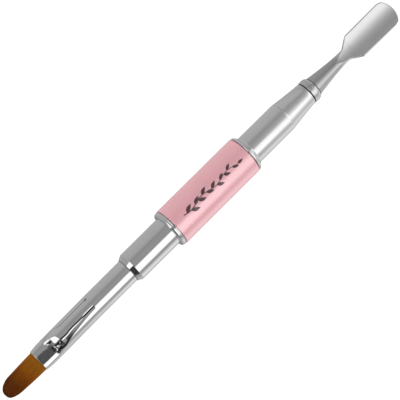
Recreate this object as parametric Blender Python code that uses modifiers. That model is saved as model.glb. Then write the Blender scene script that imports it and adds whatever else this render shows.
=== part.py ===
"""A double-ended nail tool: a filbert gel brush at one end, a concave steel spatula at the other.

The tool lies along X, brush towards -X and spatula towards +X, with a crimped flat of the ferrule and the
hollow side of the blade facing +Z. The origin is under the middle of the tool's length, on the surface that
the barrel rests on. Lengths are in metres.
"""
import math

import bmesh
import bpy
from mathutils import Matrix
from mathutils import Vector

MM = 0.001

# Exposed lengths, in order from the tip of the hair to the tip of the blade.
TUFT_LENGTH = 13.55 * MM
FERRULE_LENGTH = 36.35 * MM
BRUSH_SLEEVE_LENGTH = 16.15 * MM
BRUSH_COLLAR_LENGTH = 1.75 * MM
BARREL_LENGTH = 30.15 * MM
SPATULA_COLLAR_LENGTH = 1.95 * MM
TAPERED_SLEEVE_LENGTH = 24.4 * MM
GROOVE_WIDTH = 0.3 * MM
BOLSTER_LENGTH = 3.0 * MM
SPATULA_LENGTH = 34.4 * MM
BRUSH_END_LENGTH = TUFT_LENGTH + FERRULE_LENGTH + BRUSH_SLEEVE_LENGTH
HANDLE_LENGTH = BRUSH_COLLAR_LENGTH + BARREL_LENGTH + SPATULA_COLLAR_LENGTH
SPATULA_END_LENGTH = TAPERED_SLEEVE_LENGTH + GROOVE_WIDTH + BOLSTER_LENGTH + SPATULA_LENGTH
TOTAL_LENGTH = BRUSH_END_LENGTH + HANDLE_LENGTH + SPATULA_END_LENGTH

# Where each piece starts along X.
TUFT_TIP_X = -TOTAL_LENGTH / 2
LIP_X = TUFT_TIP_X + TUFT_LENGTH
MOUTH_X = LIP_X + FERRULE_LENGTH
BRUSH_COLLAR_X = MOUTH_X + BRUSH_SLEEVE_LENGTH
BARREL_X = BRUSH_COLLAR_X + BRUSH_COLLAR_LENGTH
SPATULA_COLLAR_X = BARREL_X + BARREL_LENGTH
TAPERED_SLEEVE_X = SPATULA_COLLAR_X + SPATULA_COLLAR_LENGTH
GROOVE_X = TAPERED_SLEEVE_X + TAPERED_SLEEVE_LENGTH
BOLSTER_X = GROOVE_X + GROOVE_WIDTH
SHANK_X = BOLSTER_X + BOLSTER_LENGTH
BLADE_TIP_X = SHANK_X + SPATULA_LENGTH

# Radii of the turned pieces.
BARREL_RADIUS = 6.25 * MM
BARREL_BORE = 5.2 * MM
COLLAR_RADIUS = 6.05 * MM
SLEEVE_RADIUS = 4.73 * MM
SLEEVE_BORE = 3.85 * MM
TAPER_TIP_RADIUS = 3.7 * MM
TAPER_BORE = 2.95 * MM
BOLSTER_RADIUS = 3.8 * MM
SHANK_RADIUS = 3.1 * MM
CORE_BORE = 3.2 * MM

# Gaps: between faces that meet, and round a piece that is pressed into another.
SEAM = 0.1 * MM
PRESS = 0.07 * MM

# The collars' spigots, lips and bores, which follow from the barrel, the rings and the sleeves.
SPIGOT_RADIUS = BARREL_BORE - PRESS
COLLAR_LIP_RADIUS = COLLAR_RADIUS + 0.1 * MM
COLLAR_BORE = SLEEVE_RADIUS + PRESS

# The two screw joints: crest radius, root radius and pitch of each stud, and the nut's clearance round it.
BRUSH_THREAD = (2.5 * MM, 2.05 * MM, 0.8 * MM)
SPATULA_THREAD = (1.95 * MM, 1.55 * MM, 0.7 * MM)
THREAD_CLEARANCE = 0.08 * MM

# The ridge's half width at its root and at its crest, in pitches, and how much the clearance widens it.
RIDGE_ROOT = 0.29
RIDGE_CREST = 0.09
RIDGE_WIDENING = 0.75

# A stud's core lies this far under its thread's root, and the two share this length where they join.
STUD_SINK = 0.1 * MM
STUD_OVERLAP = 0.3 * MM

# How far each inner piece reaches.
SLEEVE_INSERTION = 4.1 * MM
FERRULE_INSERTION = 6.6 * MM
SPIGOT_LENGTH = 4.0 * MM
TAPER_LENGTH = 10.1 * MM
BRUSH_STUD_LENGTH = 6.6 * MM
BRUSH_INSERT_LENGTH = 6.4 * MM
SPATULA_STUD_LENGTH = 6.2 * MM
SPATULA_INSERT_LENGTH = 6.3 * MM
SEAL_THICKNESS = 0.6 * MM
SEAL_RECESS = 0.5 * MM
SEAL_RADIUS = 3.2 * MM

# The ferrule, the hair and the blade.
FERRULE_RADIUS = 3.77 * MM
FERRULE_WALL = 0.28 * MM
CRIMP_LENGTH = 22.0 * MM
CRIMP_STEP = 0.45 * MM
CRIMP_TWIST = math.radians(12)
FOLD_FROM_LIP = 6.5 * MM
FOLD_LENGTH = 1.2 * MM
LIP_HALF_WIDTH = 3.48 * MM
LIP_HALF_HEIGHT = 1.75 * MM
TUFT_HALF_WIDTH = 3.06 * MM
TUFT_HALF_HEIGHT = 1.4 * MM
TUFT_TO_LIP = 0.3 * MM
FILBERT_LENGTH = 3.3 * MM
BLADE_HALF_WIDTH = 4.33 * MM
BLADE_HALF_THICKNESS = 0.45 * MM
BLADE_HOLLOW_RADIUS = 8.5 * MM
BLADE_END_RADIUS = 5.1 * MM
BLADE_DROP = 0.5 * MM
NECK_RADIUS = 1.9 * MM
TANG_RADIUS = 1.3 * MM

SEGMENTS = 36
INNER_SEGMENTS = 24
THREAD_SEGMENTS = 16
MERGE = 0.0000005

# A flat of the barrel's polygon faces down, so the axis is this high above the surface it rests on.
AXIS_Z = BARREL_RADIUS * math.cos(math.pi / SEGMENTS)


def clear_scene():
    for thing in list(bpy.data.objects):
        bpy.data.objects.remove(thing, do_unlink=True)


def make_collection(name):
    collection = bpy.data.collections.new(name)
    bpy.context.scene.collection.children.link(collection)
    return collection


def make_material(name, color, roughness, metallic):
    material = bpy.data.materials.new(name)
    material.use_nodes = True
    shader = material.node_tree.nodes["Principled BSDF"]
    shader.inputs["Base Color"].default_value = (*color, 1.0)
    shader.inputs["Roughness"].default_value = roughness
    shader.inputs["Metallic"].default_value = metallic
    return material


clear_scene()
PIECES = make_collection("nail_brush")
CUTTERS = make_collection("cutters")

CHROME = make_material("chrome", (0.62, 0.62, 0.63), 0.08, 1.0)
PINK = make_material("pink_anodised", (0.78, 0.36, 0.42), 0.35, 0.35)
STEEL = make_material("satin_steel", (0.55, 0.55, 0.55), 0.3, 1.0)
POLISHED = make_material("polished_steel", (0.55, 0.55, 0.56), 0.15, 1.0)
BRASS = make_material("brass", (0.72, 0.53, 0.25), 0.3, 1.0)
ALUMINIUM = make_material("aluminium", (0.75, 0.76, 0.78), 0.35, 1.0)
RUBBER = make_material("rubber", (0.02, 0.02, 0.02), 0.6, 0.0)
HAIR = make_material("hair", (0.27, 0.09, 0.015), 0.45, 0.0)
THREAD = make_material("thread", (0.75, 0.70, 0.60), 0.8, 0.0)
RESIN = make_material("resin", (0.55, 0.42, 0.20), 0.3, 0.0)


def add_piece(name, mesh, material, origin_x=0.0):
    """Put a mesh on the tool's axis: as a piece with its material, or with none as a cutter drawn as wire."""
    piece = bpy.data.objects.new(name, mesh)
    piece.location = (origin_x, 0.0, AXIS_Z)
    if material is None:
        piece.hide_render = True
        piece.display_type = "WIRE"
        CUTTERS.objects.link(piece)
    else:
        mesh.materials.append(material)
        PIECES.objects.link(piece)
    return piece


def arc(centre_x, centre_r, radius, start, end, steps):
    """Points of an arc in the (x, r) plane; angles in degrees, 0 towards +X and 90 outwards."""
    angles = [math.radians(start + (end - start) * i / steps) for i in range(steps + 1)]
    return [(centre_x + radius * math.cos(a), centre_r + radius * math.sin(a)) for a in angles]


def turned(name, outline, material, segments=SEGMENTS):
    """Turn an outline of (x, radius) points about the tool's axis.

    The outline runs towards -X along its outer side. It starts and ends on the axis for a solid piece, and is
    a closed loop for a hollow one.
    """
    edges = [(i, i + 1) for i in range(len(outline) - 1)]
    if outline[0][1] > 0:
        edges.append((len(outline) - 1, 0))
    mesh = bpy.data.meshes.new(name)
    mesh.from_pydata([(x, 0.0, r) for x, r in outline], edges, [])
    piece = add_piece(name, mesh, material)
    screw = piece.modifiers.new("Turn", "SCREW")
    screw.axis = "X"
    screw.steps = segments
    screw.render_steps = segments
    screw.use_merge_vertices = True
    screw.merge_threshold = MERGE
    piece.rotation_euler[0] = math.pi / segments
    return piece


def tube(start, end, outer, inner):
    """The outline of a plain tube."""
    return [(end, outer), (start, outer), (start, inner), (end, inner)]


def rod(start, end, radius):
    """The outline of a plain solid rod."""
    return [(end, 0.0), (end, radius), (start, radius), (start, 0.0)]


def combine(piece, operation, other):
    """Join a piece with a cutter, or cut it."""
    boolean = piece.modifiers.new(operation.title(), "BOOLEAN")
    boolean.operation = operation
    boolean.object = other
    boolean.solver = "EXACT"


def lofted(name, rings, material, capped=True, origin_x=0.0):
    """A surface through rings with equally many points, from -X to +X, closed over its ends if capped."""
    form = bmesh.new()
    rows = [[form.verts.new(point) for point in ring] for ring in rings]
    for row, following in zip(rows, rows[1:]):
        for i in range(len(row)):
            j = (i + 1) % len(row)
            form.faces.new((row[i], following[i], following[j], row[j]))
    if capped:
        form.faces.new(rows[0])
        form.faces.new(list(reversed(rows[-1])))
    bmesh.ops.translate(form, verts=form.verts, vec=(-origin_x, 0.0, 0.0))
    for face in form.faces:
        face.smooth = len(face.verts) == 4
    mesh = bpy.data.meshes.new(name)
    form.to_mesh(mesh)
    form.free()
    return add_piece(name, mesh, material, origin_x=origin_x)


def threaded_rod(name, start, end, thread, clearance=0.0):
    """A rod with a right-handed helical ridge.

    The ridge's outline repeats along the rod and slides on by one pitch in one turn. Points past either end
    are drawn back to it at the root, where they close the ridge off. The helix is in phase with x = 0.
    """
    crest, root, pitch = (thread[0] + clearance, thread[1] + clearance, thread[2])
    foot = RIDGE_ROOT * pitch + RIDGE_WIDENING * clearance
    top = RIDGE_CREST * pitch + RIDGE_WIDENING * clearance
    outline = [(-foot, root), (-top, crest), (top, crest), (foot, root)]
    first = math.floor(start / pitch) - 2
    last = math.ceil(end / pitch) + 2
    form = bmesh.new()
    columns = []
    for i in range(THREAD_SEGMENTS):
        part_turn = i / THREAD_SEGMENTS
        angle = math.tau * part_turn
        column = []
        for turn in range(first, last + 1):
            for offset, radius in outline:
                x = (turn + part_turn) * pitch + offset
                held = min(max(x, start), end)
                r = radius if held == x else root
                column.append(form.verts.new((held, -r * math.sin(angle), r * math.cos(angle))))
        columns.append(column)
    points = len(outline)
    for i, column in enumerate(columns):
        wraps = i == THREAD_SEGMENTS - 1
        following = columns[0][points:] if wraps else columns[i + 1]
        for k in range(len(column) - 1 - points):
            corners = (column[k], column[k + 1], following[k + 1], following[k])
            form.faces.new(corners)
    bmesh.ops.remove_doubles(form, verts=form.verts, dist=MERGE)
    loose = [vert for vert in form.verts if not vert.link_faces]
    bmesh.ops.delete(form, geom=loose, context="VERTS")
    bmesh.ops.holes_fill(form, edges=[edge for edge in form.edges if edge.is_boundary], sides=0)
    bmesh.ops.recalc_face_normals(form, faces=form.faces)
    mesh = bpy.data.meshes.new(name)
    form.to_mesh(mesh)
    form.free()
    return add_piece(name, mesh, None)


def oval(x, half_width, half_height, squareness, sag=0.0, count=36):
    """A ring across the tool: an ellipse at squareness 1, nearer a rectangle below it.

    sag is the curvature that lifts the ring's sides, so that its middle is hollow.
    """
    ring = []
    for i in range(count):
        angle = math.tau * (i + 0.5) / count
        across, up = math.sin(angle), math.cos(angle)
        y = half_width * math.copysign(abs(across) ** squareness, across)
        z = half_height * math.copysign(abs(up) ** squareness, up)
        ring.append((x, y, z + sag * y * y / 2))
    return ring


def blend(a, b, share):
    return a + (b - a) * share


def smooth_step(share):
    share = min(max(share, 0.0), 1.0)
    return share * share * (3 - 2 * share)


def flat_sided_ring(x, flat_width, flat_height, side_points, crowned=None):
    """A ring with a flat above and below, and the given sides; crowned lifts the flats onto a circle."""
    steps = 6
    upper = []
    for i in range(steps + 1):
        y = flat_width * (2 * i / steps - 1)
        upper.append((x, y, math.sqrt(crowned ** 2 - y * y) if crowned else flat_height))
    right = [(x, y, z) for y, z in side_points]
    lower = [(x, -y, -z) for x, y, z in upper]
    left = [(x, -y, -z) for x, y, z in right]
    return upper + right + lower + left


def turn_ring(ring, angle):
    turn = Matrix.Rotation(angle, 3, "X")
    return [tuple(turn @ Vector(point)) for point in ring]


def ferrule_ring(x, half_width, half_height, kind, twist):
    """A ring of the ferrule: round, round with two pressed flats (flatted), or a flattened oval."""
    side_steps = 9
    side_bulge = 1.15
    shares = [i / side_steps for i in range(1, side_steps)]
    if kind == "oval":
        bulge = side_bulge * half_height
        flat = half_width - bulge
        angles = [math.pi * share for share in shares]
        sides = [(flat + bulge * math.sin(a), half_height * math.cos(a)) for a in angles]
        return turn_ring(flat_sided_ring(x, flat, half_height, sides), twist)
    edge = math.acos(half_height / half_width)
    angles = [edge + (math.pi - 2 * edge) * share for share in shares]
    sides = [(half_width * math.sin(a), half_width * math.cos(a)) for a in angles]
    crowned = half_width if kind == "round" else None
    ring = flat_sided_ring(x, half_width * math.sin(edge), half_height, sides, crowned)
    return turn_ring(ring, twist)


def make_ferrule():
    """A drawn tube: round in the sleeve, pressed flat on two sides, then folded down to an oval lip."""
    crimp_x = LIP_X + CRIMP_LENGTH
    fold_x = LIP_X + FOLD_FROM_LIP + FOLD_LENGTH
    waist = 0.11 * MM
    first_flat = FERRULE_RADIUS - 0.41 * MM
    last_flat = 2.6 * MM
    oval_height = 2.0 * MM
    narrowing = 1.6
    rings = [ferrule_ring(MOUTH_X + FERRULE_INSERTION, FERRULE_RADIUS, first_flat, "round", -CRIMP_TWIST)]
    rings.append(ferrule_ring(crimp_x, FERRULE_RADIUS, first_flat, "round", -CRIMP_TWIST))
    flat_steps = 6
    for i in range(flat_steps + 1):
        share = i / flat_steps
        x = blend(crimp_x - CRIMP_STEP, fold_x, share)
        half_width = FERRULE_RADIUS - waist * math.sin(math.pi * share)
        twist = -CRIMP_TWIST * (1 - share)
        rings.append(ferrule_ring(x, half_width, blend(first_flat, last_flat, share), "flatted", twist))
    oval_steps = 5
    for i in range(oval_steps + 1):
        share = i / oval_steps
        x = blend(LIP_X + FOLD_FROM_LIP, LIP_X, share)
        half_width = blend(FERRULE_RADIUS, LIP_HALF_WIDTH, share ** narrowing)
        rings.append(ferrule_ring(x, half_width, blend(oval_height, LIP_HALF_HEIGHT, share), "oval", 0.0))
    ferrule = lofted("ferrule", list(reversed(rings)), CHROME, capped=False)
    wall = ferrule.modifiers.new("Wall", "SOLIDIFY")
    wall.thickness = FERRULE_WALL
    wall.offset = -1.0
    wall.use_even_offset = True


def make_tuft():
    """The free hair, shaped as a filbert, with a rounded butt that stands clear of the root."""
    squareness = 0.8
    hinge_x = LIP_X - TUFT_TO_LIP - TUFT_HALF_HEIGHT
    rings = []
    for degrees in (80, 55, 30, 0):
        angle = math.radians(degrees)
        x = hinge_x + TUFT_HALF_HEIGHT * math.sin(angle)
        rings.append(oval(x, TUFT_HALF_WIDTH, TUFT_HALF_HEIGHT * math.cos(angle), squareness))
    round_x = TUFT_TIP_X + FILBERT_LENGTH
    shoulder_width, shoulder_height = 0.91 * TUFT_HALF_WIDTH, 0.55 * TUFT_HALF_HEIGHT
    tip_height = 0.2 * TUFT_HALF_HEIGHT
    narrowing, fullness = 1.5, 0.8
    steps = 4
    for i in range(1, steps + 1):
        share = i / steps
        width = blend(TUFT_HALF_WIDTH, shoulder_width, share ** narrowing)
        height = blend(TUFT_HALF_HEIGHT, shoulder_height, share)
        rings.append(oval(blend(hinge_x, round_x, share), width, height, squareness))
    for degrees in (25, 45, 62, 76, 86):
        angle = math.radians(degrees)
        width = shoulder_width * math.cos(angle) ** fullness
        height = blend(shoulder_height, tip_height, math.sin(angle))
        rings.append(oval(round_x - FILBERT_LENGTH * math.sin(angle), width, height, squareness))
    lofted("bristle_tuft", list(reversed(rings)), HAIR, origin_x=hinge_x)


def make_root():
    """The hair's root inside the ferrule, its binding, and the cast plug behind it."""
    sections = [(0.15, 3.0, 1.25, 0.85), (5.5, 3.1, 1.35, 0.85), (8.5, 2.4, 1.8, 1.0), (10.5, 2.0, 1.9, 1.0),
                (13.9, 2.0, 2.0, 1.0)]
    rings = [oval(LIP_X + back * MM, half_width * MM, half_height * MM, squareness, count=INNER_SEGMENTS)
             for back, half_width, half_height, squareness in sections]
    lofted("hair_root", rings, HAIR)

    wraps = 5
    wrap_radius = 0.2 * MM
    inner = 2.0 * MM + PRESS
    first_x = LIP_X + 11.1 * MM
    crest = []
    for i in reversed(range(wraps)):
        crest += arc(first_x + 2 * wrap_radius * i, inner + wrap_radius, wrap_radius, 30, 150, 2)
    ends = [(first_x - wrap_radius, inner), (first_x + wrap_radius * (2 * wraps - 1), inner)]
    turned("root_binding", crest + ends, THREAD, THREAD_SEGMENTS)

    glue_x = LIP_X + 13.9 * MM + SEAM
    glue_length, glue_radius = 4.5 * MM, 2.55 * MM
    turned("glue_plug", rod(glue_x, glue_x + glue_length, glue_radius), RESIN, INNER_SEGMENTS)


def make_ferrule_stud():
    """The plug pressed in the ferrule's rear, with the stud that screws into the brush sleeve."""
    rear = MOUTH_X + FERRULE_INSERTION + SEAM
    flange_x = rear + 0.8 * MM
    flange_radius = FERRULE_RADIUS - 0.05 * MM
    plug_x = rear - 6.0 * MM
    plug_radius = FERRULE_RADIUS - FERRULE_WALL - 1.5 * PRESS
    core = BRUSH_THREAD[1] - STUD_SINK
    core_x = flange_x + STUD_OVERLAP
    outline = [(core_x, 0.0), (core_x, core), (flange_x, core), (flange_x, flange_radius)]
    outline += [(rear, flange_radius), (rear, plug_radius), (plug_x, plug_radius), (plug_x, 0.0)]
    stud = turned("ferrule_stud", outline, BRASS, INNER_SEGMENTS)
    thread_x = flange_x - STUD_OVERLAP
    thread = threaded_rod("ferrule_thread", thread_x, flange_x + BRUSH_STUD_LENGTH, BRUSH_THREAD)
    combine(stud, "UNION", thread)
    seal_x = flange_x + SEAM
    seal_end = seal_x + SEAL_THICKNESS
    seal_radius = 3.5 * MM
    turned("brush_seal", tube(seal_x, seal_end, seal_radius, BRUSH_THREAD[0] + SEAM), RUBBER, INNER_SEGMENTS)
    return seal_end + SEAM


def make_insert(name, start, length, outer, thread):
    """A threaded brass insert: a plug bored by a cutter with the stud's own helix, a clearance larger."""
    insert = turned(name, rod(start, start + length, outer), BRASS, INNER_SEGMENTS)
    overrun = 1.0 * MM
    bore = threaded_rod(name + "_bore", start - overrun, start + length + overrun, thread, THREAD_CLEARANCE)
    combine(insert, "DIFFERENCE", bore)


def make_brush_sleeve():
    """The straight sleeve, with a coned mouth round the ferrule."""
    end = BARREL_X + SLEEVE_INSERTION
    cone_x = MOUTH_X + 1.9 * MM
    corner = 0.35 * MM
    outline = [(end, SLEEVE_RADIUS), (cone_x + corner, SLEEVE_RADIUS), (cone_x, SLEEVE_RADIUS - 0.06 * MM),
               (MOUTH_X + 0.4 * MM, 4.15 * MM), (MOUTH_X + 0.1 * MM, 3.97 * MM), (MOUTH_X, SLEEVE_BORE),
               (end, SLEEVE_BORE)]
    turned("brush_sleeve", outline, CHROME)


def make_barrel():
    """The pink tube, and the core tube inside it that the two sleeves butt on."""
    start = BARREL_X + SEAM / 2
    end = SPATULA_COLLAR_X - SEAM / 2
    chamfer = 0.12 * MM
    outline = [(end, BARREL_RADIUS - chamfer), (end - chamfer, BARREL_RADIUS)]
    outline += [(start + chamfer, BARREL_RADIUS), (start, BARREL_RADIUS - chamfer)]
    outline += [(start, BARREL_BORE), (end, BARREL_BORE)]
    turned("barrel", outline, PINK)
    core_start = BARREL_X + SLEEVE_INSERTION + SEAM
    core_end = SPATULA_COLLAR_X - SLEEVE_INSERTION - SEAM
    turned("core_tube", tube(core_start, core_end, BARREL_BORE - PRESS, CORE_BORE), ALUMINIUM, INNER_SEGMENTS)


def make_brush_collar():
    """The ring at the brush end: a flange outside the barrel and a spigot in it, round the sleeve."""
    lip_width = 0.35 * MM
    corner = 0.65 * MM
    inside = BARREL_X + SPIGOT_LENGTH
    face = BARREL_X - SEAM / 2
    outline = [(inside, SPIGOT_RADIUS), (face, SPIGOT_RADIUS), (face, COLLAR_LIP_RADIUS),
               (face - lip_width, COLLAR_RADIUS)]
    outline += arc(BRUSH_COLLAR_X + corner, COLLAR_RADIUS - corner, corner, 90, 180, 5)
    outline += [(BRUSH_COLLAR_X, COLLAR_BORE), (inside, COLLAR_BORE)]
    turned("brush_collar", outline, CHROME)


def make_spatula_collar():
    """The ring at the spatula end, whose flange falls to the sleeve in an S curve."""
    inside = SPATULA_COLLAR_X - SPIGOT_LENGTH
    face = SPATULA_COLLAR_X + SEAM / 2
    shoulder, foot, slope = 0.8 * MM, 0.75 * MM, 20
    shoulder_x, shoulder_r = face + 0.3 * MM, COLLAR_RADIUS - shoulder
    reach = (shoulder + foot) * math.cos(math.radians(slope))
    drop = (shoulder + foot) * math.sin(math.radians(slope))
    edge = 0.06 * MM
    outline = [(TAPERED_SLEEVE_X, COLLAR_BORE), (TAPERED_SLEEVE_X, COLLAR_BORE + edge)]
    outline += arc(shoulder_x + reach, shoulder_r + drop, foot, 250, 180 + slope, 3)
    outline += arc(shoulder_x, shoulder_r, shoulder, slope, 90, 5)
    outline += [(face, COLLAR_LIP_RADIUS), (face, SPIGOT_RADIUS)]
    outline += [(inside, SPIGOT_RADIUS), (inside, COLLAR_BORE)]
    turned("spatula_collar", outline, CHROME)


def make_tapered_sleeve():
    """The other sleeve: straight, then tapering in a hollow curve to a recess that holds the seal."""
    root_x = SPATULA_COLLAR_X - SLEEVE_INSERTION
    taper_x = GROOVE_X - TAPER_LENGTH
    bore_x = taper_x - 2.2 * MM
    bore_cone = 1.0 * MM
    recess_x = GROOVE_X - SEAL_RECESS
    recess_radius = SEAL_RADIUS + SEAM
    hollowness = 1.3
    edge = 0.12 * MM
    steps = 8
    outline = [(GROOVE_X, TAPER_TIP_RADIUS - edge)]
    for i in range(steps + 1):
        share = i / steps
        radius = blend(TAPER_TIP_RADIUS, SLEEVE_RADIUS, share ** hollowness)
        outline.append((blend(GROOVE_X - edge, taper_x, share), radius))
    outline += [(root_x, SLEEVE_RADIUS), (root_x, SLEEVE_BORE), (bore_x, SLEEVE_BORE),
                (bore_x + bore_cone, TAPER_BORE), (recess_x, TAPER_BORE), (recess_x, recess_radius),
                (GROOVE_X, recess_radius)]
    turned("tapered_sleeve", outline, CHROME)
    insert_x = recess_x - SPATULA_INSERT_LENGTH
    make_insert("spatula_insert", insert_x, SPATULA_INSERT_LENGTH, TAPER_BORE - PRESS, SPATULA_THREAD)
    seal = tube(recess_x + SEAM, BOLSTER_X - SEAM, SEAL_RADIUS, SPATULA_THREAD[0] + SEAM)
    turned("spatula_seal", seal, RUBBER, INNER_SEGMENTS)


def make_bolster():
    """The polished bead with its threaded stud behind and a socket for the spatula's tang in front."""
    core = SPATULA_THREAD[1] - STUD_SINK
    core_x = BOLSTER_X - STUD_OVERLAP
    socket_radius = TANG_RADIUS + PRESS
    socket_x = BOLSTER_X + 0.6 * MM
    crown, reach = 1.6 * MM, 1.3 * MM
    front = SHANK_X - SEAM / 2
    edge = 0.15 * MM
    edge_r = BOLSTER_RADIUS - edge - 0.03 * MM
    outline = [(socket_x, 0.0), (socket_x, socket_radius), (front, socket_radius)]
    front_angle = math.degrees(math.acos(reach / crown))
    outline += arc(front - reach, BOLSTER_RADIUS - crown, crown, front_angle, 90, 6)
    outline += arc(BOLSTER_X + edge, edge_r, edge, 90, 180, 2)
    outline += [(BOLSTER_X, core), (core_x, core), (core_x, 0.0)]
    bolster = turned("bolster", outline, POLISHED)
    thread_x = BOLSTER_X + STUD_OVERLAP
    thread = threaded_rod("bolster_thread", BOLSTER_X - SPATULA_STUD_LENGTH, thread_x, SPATULA_THREAD)
    combine(bolster, "UNION", thread)


def spatula_outline():
    """(x, half width) along the shank and blade, from behind the neck to the end of the blade."""
    start = SHANK_X + SEAM / 2
    neck_x = SHANK_X + 11.9 * MM
    hollowness = 1.45
    steps = 7
    points = []
    for i in range(steps + 1):
        share = i / steps
        half_width = blend(NECK_RADIUS, SHANK_RADIUS, (1 - share) ** hollowness)
        points.append((blend(start, neck_x, share), half_width))
    fillet, corner, slope = 2.4 * MM, 0.7 * MM, 40
    flare_x = neck_x + 1.3 * MM
    points += arc(flare_x, NECK_RADIUS + fillet, fillet, 270, 270 + slope, 4)
    shoulder_x = flare_x + 4.35 * MM
    points += arc(shoulder_x, BLADE_HALF_WIDTH - corner, corner, 90 + slope, 90, 3)
    end_centre = BLADE_TIP_X - BLADE_END_RADIUS
    corner_angle = math.degrees(math.acos(BLADE_HALF_WIDTH / BLADE_END_RADIUS))
    for degrees in (corner_angle, 42, 52, 62, 72, 81, 87):
        angle = math.radians(degrees)
        points.append((end_centre + BLADE_END_RADIUS * math.sin(angle), BLADE_END_RADIUS * math.cos(angle)))
    return points


def make_spatula():
    """The steel spatula: a tang, a shank that narrows to a neck, and a blade hollowed on its upper side."""
    hollow_start = SHANK_X + 9.8 * MM
    hollow_end = SHANK_X + 16.8 * MM
    tip_thinning = 0.6
    blade_squareness = 0.4
    full = 0.99
    tang_x = BOLSTER_X + 0.75 * MM
    start = SHANK_X + SEAM / 2
    rings = [oval(tang_x, TANG_RADIUS, TANG_RADIUS, 1.0), oval(start, TANG_RADIUS, TANG_RADIUS, 1.0)]
    for x, half_width in spatula_outline():
        share = smooth_step((x - hollow_start) / (hollow_end - hollow_start))
        along_blade = min(max((x - hollow_end) / (BLADE_TIP_X - hollow_end), 0.0), 1.0)
        thin = BLADE_HALF_THICKNESS * blend(1.0, tip_thinning, along_blade)
        half_height = blend(min(half_width, SHANK_RADIUS), thin, share)
        if share > full:
            half_height = min(thin, half_width)
        squareness = blend(1.0, blade_squareness, share)
        ring = oval(x, half_width, half_height, squareness, share / BLADE_HOLLOW_RADIUS)
        rings.append([(px, y, z - BLADE_DROP * share) for px, y, z in ring])
    lofted("spatula", rings, STEEL, origin_x=SHANK_X)


def main():
    make_ferrule()
    make_tuft()
    make_root()
    insert_x = make_ferrule_stud()
    make_insert("brush_insert", insert_x, BRUSH_INSERT_LENGTH, SLEEVE_BORE - PRESS, BRUSH_THREAD)
    make_brush_sleeve()
    make_barrel()
    make_brush_collar()
    make_spatula_collar()
    make_tapered_sleeve()
    make_bolster()
    make_spatula()


main()
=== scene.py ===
"""The looks of a double-ended nail tool: a crimped filbert gel brush, a pink barrel and a hollowed spatula.

The tool lies along X with the brush towards -X. Angles round it are measured from +Z towards -Y.
"""
import math
import random

import bmesh
import bpy
from mathutils import Matrix
from mathutils import Vector
from mathutils import noise


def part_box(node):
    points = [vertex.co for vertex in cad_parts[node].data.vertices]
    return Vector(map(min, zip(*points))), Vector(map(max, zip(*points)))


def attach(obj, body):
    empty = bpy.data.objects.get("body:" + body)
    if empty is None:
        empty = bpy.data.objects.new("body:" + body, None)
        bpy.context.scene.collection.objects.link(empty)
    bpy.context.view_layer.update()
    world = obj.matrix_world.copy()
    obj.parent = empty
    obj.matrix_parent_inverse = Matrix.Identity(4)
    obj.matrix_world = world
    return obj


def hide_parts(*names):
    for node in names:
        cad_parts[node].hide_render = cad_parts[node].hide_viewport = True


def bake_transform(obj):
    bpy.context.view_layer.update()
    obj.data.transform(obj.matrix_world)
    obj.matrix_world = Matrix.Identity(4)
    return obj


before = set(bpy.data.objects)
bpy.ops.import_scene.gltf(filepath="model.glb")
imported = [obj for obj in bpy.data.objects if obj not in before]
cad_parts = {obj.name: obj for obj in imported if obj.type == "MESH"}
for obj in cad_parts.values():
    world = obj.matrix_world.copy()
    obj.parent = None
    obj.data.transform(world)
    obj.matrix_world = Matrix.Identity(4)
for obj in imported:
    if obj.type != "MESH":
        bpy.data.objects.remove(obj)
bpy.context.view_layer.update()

MM = 0.001

# Where the pieces start and end along X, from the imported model, and the height of the tool's axis.
TUFT_TIP_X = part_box("bristle_tuft")[0].x
LIP_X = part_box("ferrule")[0].x
FERRULE_REAR_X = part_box("ferrule")[1].x
MOUTH_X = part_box("brush_sleeve")[0].x
BRUSH_SLEEVE_END_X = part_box("brush_sleeve")[1].x
BRUSH_COLLAR_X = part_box("brush_collar")[0].x
BRUSH_SPIGOT_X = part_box("brush_collar")[1].x
BARREL_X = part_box("barrel")[0].x
BARREL_END_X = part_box("barrel")[1].x
SPATULA_SPIGOT_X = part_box("spatula_collar")[0].x
TAPERED_SLEEVE_START_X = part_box("tapered_sleeve")[0].x
SPATULA_COLLAR_END_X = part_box("spatula_collar")[1].x
GROOVE_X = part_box("tapered_sleeve")[1].x
STUD_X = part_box("bolster")[0].x
SHANK_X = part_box("bolster")[1].x
BLADE_TIP_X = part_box("spatula")[1].x
BOLSTER_X = GROOVE_X + 0.3 * MM
SHANK_START_X = SHANK_X - 0.18 * MM
AXIS_Z = (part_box("barrel")[0].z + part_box("barrel")[1].z) / 2

# Radii of the turned pieces.
BARREL_RADIUS = 6.25 * MM
BARREL_BORE = 5.2 * MM
COLLAR_RADIUS = 6.05 * MM
SLEEVE_RADIUS = 4.73 * MM
SLEEVE_BORE = 3.85 * MM
TAPER_TIP_RADIUS = 3.7 * MM
TAPER_BORE = 2.95 * MM
SEAL_RADIUS = 3.2 * MM
BOLSTER_RADIUS = 3.8 * MM
SHANK_RADIUS = 3.1 * MM
NECK_RADIUS = 1.9 * MM
STUD_CREST, STUD_ROOT, STUD_PITCH = 1.95 * MM, 1.55 * MM, 0.7 * MM
PRESS = 0.07 * MM

# The ferrule.
FERRULE_RADIUS = 3.77 * MM
FERRULE_WALL = 0.28 * MM
CRIMP_X = LIP_X + 22.0 * MM
FOLD_X = LIP_X + 8.6 * MM
LIP_HALF_WIDTH = 3.48 * MM
LIP_HALF_HEIGHT = 1.75 * MM
LIP_SHIFT = 0.31 * MM

# The hair.
TUFT_SHIFT = 0.34 * MM
TUFT_HALF_WIDTH = 3.2 * MM
TUFT_HALF_HEIGHT = 1.4 * MM
FILBERT_LENGTH = 4.3 * MM

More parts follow.
